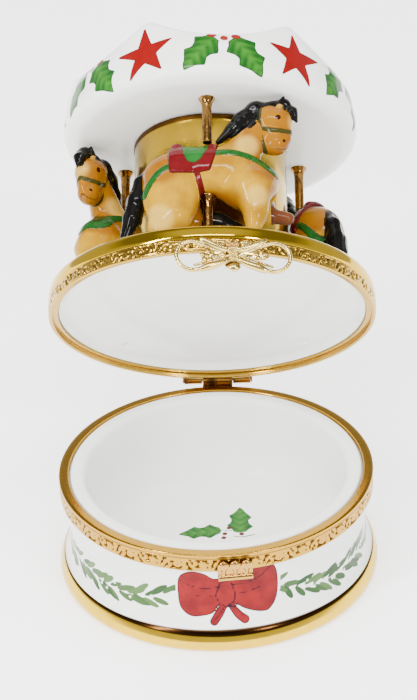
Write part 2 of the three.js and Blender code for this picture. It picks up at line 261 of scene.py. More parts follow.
def smooth_min(a, b, k):
    h = np.clip(0.5 + 0.5 * (b - a) / k, 0, 1)
    return b + (a - b) * h - k * h * (1 - h)


def union(parts, k):
    whole = parts[0]
    for part in parts[1:]:
        whole = smooth_min(whole, part, k)
    return whole


def flat_polygon(p, corners):
    """Signed distance to a flat polygon, negative inside."""
    corners = np.array(corners, float)
    best = np.full(len(p), 1e9)
    inside = np.zeros(len(p), bool)
    for a, b in zip(corners, np.roll(corners, -1, 0)):
        edge, w = b - a, p - a
        t = np.clip(w @ edge / (edge @ edge), 0, 1)
        best = np.minimum(best, ((w - t[:, None] * edge) ** 2).sum(1))
        crosses = (a[1] > p[:, 1]) != (b[1] > p[:, 1])
        with np.errstate(divide="ignore", invalid="ignore"):
            x = a[0] + (p[:, 1] - a[1]) * edge[0] / edge[1]
        inside ^= crosses & (p[:, 0] < x)
    return np.where(inside, -1, 1) * np.sqrt(best)


def curve(knots, steps=6):
    """A Catmull-Rom line through the knots, each with as many numbers as wanted."""
    k = np.array(knots, float)
    k = np.vstack([2 * k[0] - k[1], k, 2 * k[-1] - k[-2]])
    out = []
    for i in range(1, len(k) - 2):
        for t in np.arange(steps) / steps:
            a, b, c, d = k[i - 1], k[i], k[i + 1], k[i + 2]
            out.append(0.5 * (2 * b + (c - a) * t + (2 * a - 5 * b + 4 * c - d) * t ** 2
                              + (3 * b - a - 3 * c + d) * t ** 3))
    return np.array(out + [k[-2]])


def closed_curve(knots, steps=5):
    k = list(knots)
    whole = curve(k[-2:] + k + k[:2], steps)
    return whole[2 * steps:(len(k) + 2) * steps]


def line(p, knots, radius, steps=5):
    """Distance to a smooth brush line of one radius, or with the radius as each knot's last number."""
    k = curve(knots if radius is None else [(*q, radius) for q in knots], steps)
    return np.min([limb(p, a[:-1], b[:-1], a[-1], b[-1]) for a, b in zip(k[:-1], k[1:])], 0)


# ---------------------------------------------------------------- painted motifs, in flat (s, z)
def holly(p, stem, tip, half):
    """A holly leaf with two prickles a side."""
    stem, tip = np.array(stem, float), np.array(tip, float)
    along = tip - stem
    across = np.array([-along[1], along[0]]) / np.linalg.norm(along)
    left = [(0.0, 0.1), (0.04, 0.45), (0.14, 0.62), (0.30, 1.02), (0.40, 0.72), (0.52, 0.62),
            (0.68, 0.86), (0.78, 0.44), (0.90, 0.2)]
    right = [(0.92, 0.22), (0.80, 0.42), (0.60, 0.9), (0.48, 0.62), (0.36, 0.68), (0.22, 1.0),
             (0.12, 0.62), (0.03, 0.42)]
    outline = [stem + along * t + across * half * w for t, w in left]
    outline += [tip] + [stem + along * t - across * half * w for t, w in right]
    return flat_polygon(p, outline) - 0.08


def leaf_shade(p, stem, tip):
    """0 at the midrib of a leaf, rising across it, with slanting veins."""
    stem, tip = np.array(stem, float), np.array(tip, float)
    along = (tip - stem) / np.linalg.norm(tip - stem)
    w = p - stem
    t, n = w @ along, np.abs(w @ np.array([-along[1], along[0]]))
    return 0.35 + np.clip(n / 1.8, 0, 1) * 0.35 + 0.14 * np.sin((t - 0.9 * n) * 3.3)


def holly_pair(p, leaves):
    """Distance to the nearer of two (stem, tip, half width) leaves, and its shade."""
    first, second = (holly(p, *leaf) for leaf in leaves)
    shades = [leaf_shade(p, stem, tip) for stem, tip, half in leaves]
    return np.minimum(first, second), np.where(first < second, *shades)


def star(p, centre, size, tilt, wobble):
    """A five-pointed star, painted by hand: no two of its points are quite alike."""
    corners = []
    for k in range(5):
        tip = math.radians(90 + tilt - 72 * k + 4 * math.sin(wobble + 2.1 * k))
        notch = tip - math.radians(36)
        reach = size * (1 + 0.06 * math.cos(wobble * 3 + k * 1.7))
        corners.append((centre[0] + reach * math.cos(tip), centre[1] + reach * math.sin(tip)))
        corners.append((centre[0] + 0.37 * size * math.cos(notch), centre[1] + 0.37 * size * math.sin(notch)))
    return flat_polygon(p, corners) - 0.18


# ---------------------------------------------------------------- materials
class Nodes:
    """Small helper for node trees."""

    def __init__(self, name):
        self.material = bpy.data.materials.new(name)
        self.material.use_nodes = True
        self.tree = self.material.node_tree
        self.shader = self.tree.nodes["Principled BSDF"]

    def add(self, kind, **settings):
        node = self.tree.nodes.new(kind)
        for key, value in settings.items():
            setattr(node, key, value)
        return node

    def put(self, socket, value):
        if isinstance(value, bpy.types.NodeSocket):
            self.tree.links.new(value, socket)
        elif isinstance(value, (tuple, list)) and len(value) == 3 and socket.type == "RGBA":
            socket.default_value = (*value, 1)
        else:
            socket.default_value = value

    def layer(self, name):
        return self.add("ShaderNodeAttribute", attribute_name=name).outputs["Fac"]

    def math(self, operation, *values):
        node = self.add("ShaderNodeMath", operation=operation)
        for socket, value in zip(node.inputs, values):
            self.put(socket, value)
        return node.outputs[0]

    def ramp(self, value, low, high, to_low=0.0, to_high=1.0):
        node = self.add("ShaderNodeMapRange", clamp=True, interpolation_type="SMOOTHSTEP")
        for socket, x in zip(node.inputs[:5], (value, low, high, to_low, to_high)):
            self.put(socket, x)
        return node.outputs[0]

    def noise(self, scale, detail=3.0, stretch=(1, 1, 1)):
        where = self.add("ShaderNodeTexCoord").outputs["Object"]
        mapping = self.add("ShaderNodeMapping")
        self.put(mapping.inputs["Vector"], where)
        mapping.inputs["Scale"].default_value = stretch
        node = self.add("ShaderNodeTexNoise")
        self.put(node.inputs["Vector"], mapping.outputs[0])
        node.inputs["Scale"].default_value = scale
        node.inputs["Detail"].default_value = detail
        return node.outputs["Fac"]

    def mix(self, factor, a, b):
        node = self.add("ShaderNodeMix", data_type="RGBA")
        self.put(node.inputs["Factor"], factor)
        self.put(node.inputs["A"], a)
        self.put(node.inputs["B"], b)
        return node.outputs["Result"]

    def mottled(self, scale, a, b, detail=3.0):
        return self.mix(self.noise(scale, detail), a, b)

    def bump(self, height, strength, distance):
        node = self.add("ShaderNodeBump")
        node.inputs["Strength"].default_value = strength
        node.inputs["Distance"].default_value = distance
        self.put(node.inputs["Height"], height)
        self.tree.links.new(node.outputs[0], self.shader.inputs["Normal"])

    def set(self, **values):
        for key, value in values.items():
            self.put(self.shader.inputs[key.replace("_", " ")], value)


# The screen's grey scale, and the light that gives each step of it.
SEEN = (0, 25, 52, 98, 128, 156, 180, 200, 216, 229, 240, 255)
SENT = (0, 0.0145, 0.043, 0.127, 0.217, 0.373, 0.64, 1.1, 1.9, 3.25, 5.6, 12.0)
LIGHT = 2.6
FLOOR_GLOW = 1.5
BRUSH_GRAIN = 2600


def rgb(r, g, b):
    """The surface colour that looks like a screen colour under the studio light."""
    return tuple(min(0.86, float(np.interp(c, SEEN, SENT)) / LIGHT) for c in (r, g, b))


def metal(r, g, b):
    return tuple(c / 255 for c in (r, g, b))


def brush(n, under, layer, colour, edge, edge_width, ragged=0.12):
    """Lays a painted shape over a colour: filled inside the layer's zero line, with a darker edge."""
    wave = n.math("MULTIPLY_ADD", n.noise(BRUSH_GRAIN, 2.0), ragged, -ragged / 2)
    d = n.math("ADD", n.layer(layer), wave)
    inner = n.ramp(d, -edge_width - 0.05, -edge_width + 0.05, 1.0, 0.0)
    filled = n.mix(inner, edge, colour)
    return n.mix(n.ramp(d, -0.05, 0.05, 1.0, 0.0), under, filled)


WHITE_WARM = (0.83, 0.83, 0.80)
WHITE_COOL = (0.78, 0.79, 0.77)


def glaze(n):
    """The bare porcelain colour, with the faint unevenness of a hand-dipped glaze."""
    n.set(Roughness=0.09, IOR=1.5, Specular_IOR_Level=0.12)
    n.bump(n.noise(170, 2.0), 0.14, 0.0004)
    return n.mottled(90, WHITE_WARM, WHITE_COOL, 2.0)


def greens(n):
    """Leaf green, darker over the veins and at random."""
    veins = n.math("MULTIPLY", n.layer("leaf_shade"), 0.75)
    shade = n.math("ADD", veins, n.math("MULTIPLY", n.noise(900), 0.35))
    return n.mix(n.ramp(shade, 0.25, 0.85), (0.035, 0.155, 0.016), (0.006, 0.055, 0.008))


def canopy_material():
    n = Nodes("canopy_glaze")
    colour = glaze(n)
    colour = brush(n, colour, "leaf", greens(n), rgb(28, 84, 38), 0.2)
    red = n.mottled(700, (0.20, 0.006, 0.005), (0.14, 0.004, 0.004))
    colour = brush(n, colour, "star", red, (0.07, 0.002, 0.003), 0.12)
    colour = brush(n, colour, "berry", rgb(176, 52, 40), rgb(112, 34, 26), 0.16)
    n.set(Base_Color=colour)
    return n.material


def bowl_material():
    n = Nodes("base_glaze")
    colour = glaze(n)
    green = n.mix(n.layer("garland_shade"), (0.010, 0.045, 0.012), (0.085, 0.16, 0.045))
    colour = brush(n, colour, "garland", green, (0.014, 0.055, 0.014), 0.05, 0.10)
    colour = brush(n, colour, "pearl", rgb(250, 250, 246), rgb(205, 212, 204), 0.1, 0.03)
    colour = brush(n, colour, "leaf", greens(n), rgb(26, 82, 40), 0.14, 0.08)
    colour = brush(n, colour, "twig", rgb(88, 62, 48), rgb(70, 48, 40), 0.05, 0.05)
    colour = brush(n, colour, "berry", rgb(122, 42, 36), rgb(80, 30, 28), 0.12, 0.05)
    red = n.mix(n.ramp(n.noise(380), 0.3, 0.7), (0.20, 0.006, 0.007), (0.12, 0.004, 0.006))
    colour = brush(n, colour, "ribbon", red, (0.03, 0.002, 0.006), 0.2, 0.1)
    ink = (0.012, 0.001, 0.006)
    colour = brush(n, colour, "ribbon_line", ink, ink, 0.05, 0.06)
    foot = n.ramp(n.layer("gilding"), -0.04, 0.04, 1.0, 0.0)
    colour = n.mix(foot, colour, n.mottled(420, metal(182, 118, 6), metal(158, 98, 4)))
    # Painted dark reflection: a brown line along the top of the gilded foot.
    dark = n.ramp(n.layer("foot_dark_reflection"), -0.1, 0.1, 1.0, 0.0)
    colour = n.mix(dark, colour, rgb(86, 52, 22))
    n.set(Base_Color=colour, Metallic=foot, Roughness=n.math("MULTIPLY_ADD", foot, 0.08, 0.09))
    return n.material


def lid_material():
    n = Nodes("lid_glaze")
    colour = glaze(n)
    band = n.ramp(n.layer("gilding"), -0.04, 0.04, 1.0, 0.0)
    colour = n.mix(band, colour, n.mottled(420, metal(168, 108, 5), metal(146, 90, 4)))
    n.set(Base_Color=colour, Metallic=band)
    return n.material


def relief_material(name, tone, hollow):
    """Bright metal with dark hollows. On the column the dark colour is painted shadow under the canopy."""
    n = Nodes(name)
    worn = tuple(int(c * 0.88) for c in tone)
    colour = n.mix(n.noise(420, 4.0, (1, 1, 0.3)), metal(*tone), metal(*worn))
    raised = n.ramp(n.layer("relief"), 0.08, 0.55)
    n.set(Base_Color=n.mix(raised, metal(*hollow), colour), Metallic=1.0, IOR=1.5,
          Roughness=n.ramp(raised, 0.0, 1.0, 0.5, 0.18))
    n.bump(n.noise(1600), 0.1, 0.0002)
    return n.material


def horse_material():
    n = Nodes("horse_glaze")
    n.set(Roughness=0.1, IOR=1.5, Specular_IOR_Level=0.15)
    n.bump(n.noise(260, 2.0), 0.2, 0.0004)
    colour = n.mix(n.ramp(n.noise(150, 4.0), 0.3, 0.7), (0.23, 0.100, 0.0), (0.42, 0.225, 0.002))
    speck = n.ramp(n.noise(1500, 2.0), 0.66, 0.72)
    colour = n.mix(n.math("MULTIPLY", speck, 0.35), colour, (0.24, 0.08, 0.012))
    # Painted shade: darker honey under the belly and on the head away from the neck.
    colour = n.mix(n.ramp(n.layer("crease_shade"), 0.0, 1.0, 0.0, 0.7), colour, (0.17, 0.045, 0.001))
    # Cream patches: partly the horse's lighter paint, partly painted highlight.
    colour = n.mix(n.ramp(n.layer("cream_and_highlight"), -0.9, 0.7, 0.5, 0.0), colour, (0.64, 0.44, 0.09))
    green = n.mottled(1200, (0.012, 0.085, 0.010), (0.005, 0.034, 0.006))
    colour = brush(n, colour, "green", green, (0.006, 0.03, 0.008), 0.12)
    red = n.mottled(700, (0.11, 0.004, 0.005), (0.07, 0.002, 0.004))
    colour = brush(n, colour, "red", red, (0.05, 0.004, 0.006), 0.15)
    seat = n.mottled(700, (0.012, 0.12, 0.016), (0.008, 0.065, 0.010))
    colour = brush(n, colour, "seat", seat, (0.006, 0.04, 0.01), 0.15)
    olive = n.mottled(1200, (0.040, 0.036, 0.006), (0.024, 0.023, 0.005))
    colour = brush(n, colour, "olive", olive, (0.02, 0.02, 0.006), 0.1)
    colour = brush(n, colour, "brown", (0.10, 0.030, 0.010), (0.03, 0.008, 0.004), 0.2)
    black = n.mottled(900, (0.004, 0.0035, 0.003), (0.002, 0.002, 0.002))
    colour = brush(n, colour, "black", black, (0.004, 0.003, 0.002), 0.1, 0.3)
    colour = brush(n, colour, "eye", (0.022, 0.003, 0.002), (0.006, 0.001, 0.001), 0.14, 0.04)
    n.set(Base_Color=colour)
    return n.material


canopy_glaze = canopy_material()
base_glaze = bowl_material()
lid_glaze = lid_material()
column_gold = relief_material("column_gilding", (118, 74, 5), (14, 6, 1))
base_brass = relief_material("base_band_brass", (128, 70, 8), (20, 6, 1))
lid_brass = relief_material("lid_band_brass", (138, 84, 12), (20, 8, 1))
bow_brass = relief_material("bow_brass", (190, 138, 40), (60, 30, 6))
hinge_brass = relief_material("hinge_brass", (130, 70, 16), (24, 9, 2))
post_metal = relief_material("post_metal", (66, 34, 9), (20, 9, 3))
horse_glaze = horse_material()


# ---------------------------------------------------------------- base bowl
def wall_flat(points, radius, turn):
    """(s, z) on a wall unrolled at a radius, s measured round from the turn towards +X."""
    angle = np.arctan2(points[:, 0], -points[:, 1]) - math.radians(turn)
    angle = (angle + math.pi) % (2 * math.pi) - math.pi
    return np.stack([angle * radius, points[:, 2]], 1)


def painted(size, mask, **layers):
    """Whole-mesh layers from distances worked out only where mask is set."""
    out = {}
    for name, values in layers.items():
        whole = np.full(size, FAR)
        whole[mask] = values
        out[name] = whole
    return out


def garland(p):
    """Brush strokes along a swag, with pearls, broken by the ribbon. All strokes point towards +s."""
    rng = np.random.default_rng(4)
    d = np.full(len(p), FAR)
    shade = np.zeros(len(p))
    pearls = np.full(len(p), FAR)
    half_way = 28.6 * math.pi

    def height(s):
        return 8.3 + 4.3 * math.exp(-max(abs(s + 0.6) - 9.5, 0) / 6.5) - 0.5 * math.sin(abs(s) / 9)

    s = -half_way
    while s < half_way:
        if -10.6 < s < 8.2:
            s = 8.2
        slope = (height(s + 0.5) - height(s - 0.5))
        for side in (1, -1):
            if -13.4 < s < -8 and side < 0:
                continue
            lean = math.atan(slope) + side * math.radians(rng.uniform(16, 38))
            length = rng.uniform(3.2, 4.6)
            width = rng.uniform(0.46, 0.66)
            foot = np.array([s + rng.uniform(-0.4, 0.4), height(s) + side * rng.uniform(0.1, 0.5)])
            end = foot + length * np.array([math.cos(lean), math.sin(lean)])
            along = end - foot
            t = np.clip((p - foot) @ along / (along @ along), 0, 1)
            away = np.sqrt(((p - foot - t[:, None] * along) ** 2).sum(1))
            stroke = away - width * np.sqrt(np.clip(4 * t * (1 - t), 0.03, 1))
            tone = rng.uniform(0, 1)
            nearer = stroke < d
            shade[nearer] = tone
            d[nearer] = stroke[nearer]
        if rng.uniform() < 0.6:
            pearl = np.array([s + rng.uniform(0.5, 1.5), height(s) + rng.uniform(-1.1, 1.3)])
            pearls = np.minimum(pearls, np.sqrt(((p - pearl) ** 2).sum(1)) - 0.34)
        s += rng.uniform(1.7, 2.2)
    return d, shade, pearls


def ribbon(p):
    """The painted bow and the thin lines of its folds."""
    left = closed_curve([
        (-1.6, 14.9), (-3.4, 15.4), (-5.2, 16.6), (-7.6, 16.9), (-9.6, 15.4), (-10.0, 12.0),
        (-9.6, 8.6), (-7.8, 6.9), (-5.4, 7.0), (-3.5, 7.7), (-2.6, 9.2), (-1.4, 10.0)])
    right = closed_curve([
        (-0.8, 14.9), (1.0, 15.0), (2.4, 16.2), (4.4, 17.6), (6.6, 17.9), (8.2, 16.2), (8.7, 12.6),
        (8.3, 9.2), (6.8, 7.1), (4.6, 7.2), (2.2, 8.2), (0.9, 9.2), (-0.8, 10.0)])
    knot = egg(np.column_stack([p, np.zeros(len(p))]), (-1.2, 11.8, 0), (1.9, 3.1, 1))
    tails = np.minimum(line(p, [(-1.4, 9.6, 0.7), (-2.4, 7.6, 0.85), (-3.4, 5.9, 0.8)], None),
                       line(p, [(-0.4, 9.4, 0.6), (1.0, 7.2, 0.8), (2.2, 6.0, 0.85)], None))
    shape = np.minimum.reduce([flat_polygon(p, left), flat_polygon(p, right), knot, tails])
    folds = [
        ([(-9.8, 14.8), (-7.2, 13.4), (-4.6, 13.0), (-2.2, 13.5)], 0.13),
        ([(0.2, 13.8), (3.0, 14.0), (5.6, 15.2), (7.2, 16.9)], 0.13),
        ([(-6.8, 11.2), (-5.0, 11.5), (-3.4, 11.2)], 0.12),
        ([(1.2, 11.6), (3.2, 11.9), (5.2, 12.5)], 0.12),
        ([(-2.2, 13.8), (-2.9, 11.6), (-2.4, 9.9), (-1.4, 9.1)], 0.15),
        ([(0.0, 13.8), (0.5, 11.8), (0.3, 10.0), (-0.8, 9.1)], 0.15),
        ([(-2.4, 14.0), (-1.2, 14.6), (0.1, 14.0)], 0.13),
        ([(-1.6, 9.2), (-0.6, 8.9), (0.6, 8.8)], 0.13),
        ([(-1.4, 9.0), (-2.2, 7.6), (-3.4, 6.1)], 0.1),
        ([(0.2, 8.8), (1.4, 7.4), (2.4, 6.2)], 0.1),
    ]
    return shape, np.min([line(p, knots, width) for knots, width in folds], 0)


def base_bowl():
    """The waisted bowl: its foot, outer wall and mouth, then the inside down to the floor."""
    foot, mouth = FOOT_R, BASE_R
    rim, top = bezel_lo[2], bezel_hi[2]
    profile = fillet([
        (0, 0.8), (foot - 4.6, 0.8, 0.6), (foot - 4.0, 0, 0.4), (foot - 1.0, 0, 0.8), (foot - 0.1, 0.7, 0.9),
        (foot, 2.1, 1.2), (foot - 0.8, 4.0, 1.0), (foot - 1.75, 4.75, 0.9), (foot - 2.35, 7.2, 2.2),
        (foot - 2.5, 10.5, 3), (foot - 2.35, 14.5, 3), (foot - 2.0, rim - 0.2, 0.2),
        (mouth - 1.1, rim + 0.2, 0.2), (mouth - 1.1, top - 1.0, 0.1), (mouth - 2.2, top - 0.95, 0.1),
        (mouth - 2.3, top + 0.02, 0.5), (mouth - 5.0, top + 0.02, 1.6), (mouth - 5.6, 17, 2),
        (mouth - 5.7, 9.0, 3), (mouth - 7.6, 4.9, 3.4), (mouth - 11, 4.15, 2), (12, 4.0, 1), (0, 4.0)], 8)
    points, faces = revolve(resample(profile, 0.42, False), 560, False)
    r = np.hypot(points[:, 0], points[:, 1])
    z = points[:, 2]
    size = len(points)
    outer = (r > FOOT_R - 3) & (z > 3.6) & (z < rim + 1)
    flat = wall_flat(points[outer], BASE_WALL_R, RIBBON_TURN)
    d, shade, pearls = garland(flat)
    shape, lines = ribbon(flat)
    d = np.where(shape < 0.25, FAR, d)
    paint = painted(size, outer, garland=d, garland_shade=shade, pearl=np.where(shape < 0.3, FAR, pearls),
                    ribbon=shape, ribbon_line=lines)
    floor_part = (r < 15) & (z > 3) & (z < 6)
    f = points[floor_part][:, :2]
    leaves = [((0.4, 3.6), (-7.8, 2.3), 2.3), ((4.2, 2.6), (4.1, 11.4), 2.5)]
    leaf, veins = holly_pair(f, leaves)
    centres = ((2.0, 4.3), (1.2, 2.3), (4.5, 2.1), (1.0, 0.9))
    berries = np.min([np.sqrt(((f - c) ** 2).sum(1)) for c in centres], 0) - 0.52
    twigs = np.minimum(line(f, [(0.4, 3.6), (1.6, 3.3), (2.8, 3.4)], 0.14),
                       line(f, [(3.0, 1.4), (4.6, 1.1), (7.0, 1.9)], 0.14))
    paint.update(painted(size, floor_part, leaf=leaf, leaf_shade=veins, berry=berries, twig=twigs))
    paint["gilding"] = np.where(r > 24.5, z - 4.25, FAR)
    # Painted dark reflection: a brown line round the top of the gilded foot, widest at the front, stands in for
    # the dark reflection in the foot's curve.
    front = np.clip(np.cos(np.arctan2(points[:, 0], -points[:, 1]) - 0.1), 0, 1)
    shadow = np.abs(z - 4.1 + 0.12 * front) - 0.12 - 0.4 * front ** 3
    paint["foot_dark_reflection"] = np.where((r > 26) & (z < 6), shadow, FAR)
    make_mesh("base_bowl", "glazed", points, faces, BASE, base_glaze, paint)


# ---------------------------------------------------------------- stamped bands
def scrolls(s, z, period, height):
    """Relief of a stamped running scroll, from 0 in the hollows to 1 on the ridges. z is 0 at mid band."""
    k = s / period
    cell = np.floor(k)
    u = (k - cell - 0.5) * period
    flip = np.where(cell.astype(int) % 2 == 0, 1.0, -1.0)
    p = np.stack([u, z * flip], 1)
    q = period / 4.6
    h = height / 2
    strokes = [
        (line(p, [(-2.5 * q, -0.55 * h), (-1.5 * q, 0.45 * h), (-0.2 * q, 0.62 * h), (0.75 * q, 0.1 * h),
                  (0.45 * q, -0.38 * h), (-0.1 * q, -0.22 * h), (0.0, 0.12 * h)], 0.0, 4), 0.30),
        (line(p, [(0.2 * q, 0.62 * h), (1.2 * q, 0.6 * h), (2.5 * q, 0.55 * h)], 0.0, 3), 0.24),
        (line(p, [(-1.4 * q, 0.2 * h), (-1.0 * q, -0.4 * h), (-1.5 * q, -0.62 * h)], 0.0, 3), 0.24),
        (line(p, [(0.7 * q, -0.2 * h), (1.5 * q, -0.1 * h), (1.9 * q, -0.55 * h), (1.4 * q, -0.6 * h)],
              0.0, 4), 0.25),
        (np.sqrt((p[:, 0] - 1.5 * q) ** 2 + (p[:, 1] - 0.15 * h) ** 2), 0.3),
        (np.sqrt((p[:, 0] + 0.9 * q) ** 2 + (p[:, 1] + 0.05 * h) ** 2), 0.24),
        (np.abs(np.abs(z) - h * 0.93), 0.14),
    ]
    return np.max([np.sqrt(np.clip(1 - (d / (w * 1.35)) ** 2, 0, 1)) for d, w in strokes], 0)


def band(node, profile, z_range, radius, repeats, place, material):
    """A turned brass ring with the scroll stamped into the part of its outer face within z_range."""
    points, faces = revolve(resample(fillet(profile), 0.13, True), 1150, True)
    r = np.hypot(points[:, 0], points[:, 1])
    angle = np.arctan2(points[:, 0], -points[:, 1])
    z0, z1 = z_range
    mid, height = (z0 + z1) / 2, z1 - z0
    face = (r > radius - 0.12) & (points[:, 2] > z0) & (points[:, 2] < z1)
    relief = np.ones(len(points))
    relief[face] = scrolls((angle[face] + math.pi) * radius, points[face, 2] - mid,
                           2 * math.pi * radius / repeats, height)
    sink = np.where(face, (1 - relief) * 0.26, 0)
    points[:, 0] -= np.sin(angle) * sink
    points[:, 1] += np.cos(angle) * sink
    make_mesh(node, "stamped", points, faces, place, material, {"relief": relief})


def base_bezel():
    z0, z1 = bezel_lo[2], bezel_hi[2]
    r = BASE_R
    face = r - PROUD
    profile = [(r - 0.75, z0, 0.1), (face, z0, 0.2), (face, z1 - 0.9, 0.1), (r - 0.12, z1 - 0.75, 0.1),
               (face, z1 - 0.55, 0.1), (face, z1 - 0.1, 0.3), (r - 0.5, z1, 0.3), (r - 1.85, z1, 0.2),
               (r - 2.05, z1 - 0.55, 0.1), (r - 0.75, z1 - 0.6, 0.1)]
    band("base_bezel", profile, (z0 + 0.1, z1 - 0.9), face, 40, BASE, base_brass)


def lid_bezel():
    z0, z1 = -SKIRT, LID_BAND_TOP
    r = LID_R
    face = r - PROUD
    profile = [(r - 1.9, 0.12, 0.1), (r - 0.95, 0.1, 0.1), (r - 0.9, z0 + 0.05, 0.1), (r - 0.3, z0, 0.25),
               (face, z0 + 0.3, 0.2), (face, z1, 0.15), (r - 0.55, z1, 0.1), (r - 0.6, 0.7, 0.1),
               (r - 1.9, 0.7, 0.1)]
    band("lid_bezel", profile, (z0 + 0.2, z1 - 0.02), face, 44, LID, lid_brass)


# ---------------------------------------------------------------- lid, column and canopy
def lid_plate():
    """The porcelain plate, its underside first, with a dimple under each post's fixing."""
    band_top = LID_BAND_TOP + 0.1
    top = PLATFORM_Z
    r = plate_hi[0]
    profile = fillet([
        (0, 2.0), (r - 7, 2.0, 0.5), (r - 3.6, 1.7, 1), (r - 2.6, 1.1, 0.8), (r - 2.05, 0.55, 0.3),
        (r - 1.95, 0.85, 0.1), (r - 0.9, 0.85, 0.1), (r - 0.9, band_top, 0.1), (r - 0.2, band_top, 0.15),
        (r, band_top + 0.5, 0.4), (r - 0.06, top - 1.2, 0.5), (r - 0.5, top - 0.4, 0.6),
        (r - 1.5, top, 0.8), (r - 4, top, 0.4), (0, top)], 8)
    points, faces = revolve(resample(profile, 0.45, False), 420, False)
    below = points[:, 2] < 2.4
    for at in ((0, -POST_RING_R), (17.4, 18), (-17.4, 18)):
        d = np.sqrt(((points[:, :2] - at) ** 2).sum(1))
        points[below, 2] += 1.1 * np.clip(1 - (d[below] / 1.15) ** 2, 0, 1) ** 1.5
    inner_edge = (r - 3.2) - np.hypot(points[:, 0], points[:, 1])
    gilding = {"gilding": np.where(points[:, 2] < LID_BAND_TOP, FAR, inner_edge)}
    make_mesh("lid_plate", "glazed", points, faces, LID, lid_glaze, gilding)


def column():
    z0, z1 = column_lo[2], column_hi[2]
    bore, neck, face = COLUMN_R - 2, COLUMN_R - 0.25, COLUMN_R - PROUD
    profile = fillet([
        (bore, z0, 0.2), (face, z0, 0.3), (face, z0 + 0.8, 0.3), (neck, z0 + 1.4, 0.4),
        (neck, z1 - 1.2, 0.4), (face, z1 - 0.5, 0.3), (face, z1, 0.2), (bore, z1, 0.2)])
    points, faces = revolve(resample(profile, 0.5, True), 192, True)
    # Painted shadow: the top of the column turns to the dark hollow colour where it meets the canopy.
    clear_of_joint_shadow = np.clip((z1 - 0.9 - points[:, 2]) / 0.6, 0, 1)
    make_mesh("column", "gilded", points, faces, LID, column_gold, {"relief": clear_of_joint_shadow})


def canopy():
    """The canopy's floor, wall, low roof and hollow, with the wall's edge sagging between six peaks."""
    dip = 4.9
    z0, wide, peak = CANOPY_Z, CANOPY_R, PEAK_Z
    mouth = COLUMN_R - 1.9
    corners = [
        (mouth, z0, 0.2), (wide - 2.6, z0, 1.0), (wide - 0.35, z0 + 1.0, 1.2), (wide, z0 + 3.0, 1.2),
        (wide - 0.95, z0 + 9.5, 3), (wide - 1.8, peak - 0.9, 0.5), (wide - 2.35, peak - 0.02, 0.6),
        (wide - 3.4, peak - 0.1, 0.6), (wide - 4.0, peak - 1.0, 0.6), (wide - 4.4, z0 + 10.8, 1.2),
        (16, z0 + 13.8, 3), (6, z0 + 15.6, 2), (0.3, z0 + 16, 0.1), (0.3, z0 + 11.6, 0.1), (6, z0 + 11, 1),
        (15, z0 + 8.8, 2), (23.0, z0 + 6.2, 1.5), (24.8, z0 + 3.1, 1), (mouth, z0 + 3, 0.2)]
    profile = resample(fillet(corners), 0.42, True)
    points, faces = revolve(profile, 560, True)
    angle = np.arctan2(points[:, 0], -points[:, 1])
    r = np.hypot(points[:, 0], points[:, 1])
    u = (angle / (2 * math.pi) * 6) % 1
    swing = np.abs(2 * (u - np.round(u)))
    near_peak = np.sqrt((1 - swing) ** 2 + 0.004)
    sag = dip * (1 - (1 - near_peak) ** 2)
    weight = np.clip((points[:, 2] - (z0 + 7.5)) / (PEAK_Z - z0 - 7.5), 0, 1)
    weight = np.where(r < CANOPY_R - 4.6, 0, weight)
    weight = np.where((r < CANOPY_R - 3.6) & (points[:, 2] < PEAK_Z - 1.5), weight * 0.6, weight)
    points[:, 2] -= sag * weight
    wall = (r > CANOPY_R - 4.0) & (points[:, 2] > z0 + 0.2)
    flat = wall_flat(points[wall], CANOPY_WALL_R, 0)
    pitch = CANOPY_WALL_R * math.pi / 3
    cell = np.round(flat[:, 0] / pitch)
    local = flat - np.stack([cell * pitch, np.zeros(len(cell))], 1)
    leaves = [((-1.2, z0 + 8.9), (-6.7, z0 + 1.6), 2.95), ((2.4, z0 + 8.7), (7.7, z0 + 0.9), 3.05)]
    leaf, veins = holly_pair(local, leaves)
    berries = [egg(np.column_stack([local, np.zeros(len(local))]), (x, z0 + z, 0), (a, b, 1))
               for x, z, a, b in ((-1.6, 9.5, 0.95, 0.6), (0.7, 8.7, 0.75, 0.72), (3.0, 9.25, 0.95, 0.65))]
    stars = np.full(len(flat), FAR)
    for k in range(6):
        s = (k + 0.5) * pitch
        shifted = flat.copy()
        shifted[:, 0] = (flat[:, 0] - s + 3 * pitch) % (6 * pitch) - 3 * pitch
        lean = {0: -4, 5: 6}.get(k, 5 * math.sin(k * 2.3))
        stars = np.minimum(stars, star(shifted, (0.3, z0 + 6.6), 5.6, lean, 1.3 + k))
    inner = r[wall] < CANOPY_R - 2.7
    paint = painted(len(points), wall, leaf=np.where(inner, FAR, leaf), leaf_shade=veins,
                    berry=np.where(inner, FAR, np.min(berries, 0)), star=np.where(inner, FAR, stars))
    points = turn_z(points, CANOPY_TURN)
    make_mesh("canopy", "glazed", points, faces, LID, canopy_glaze, paint)


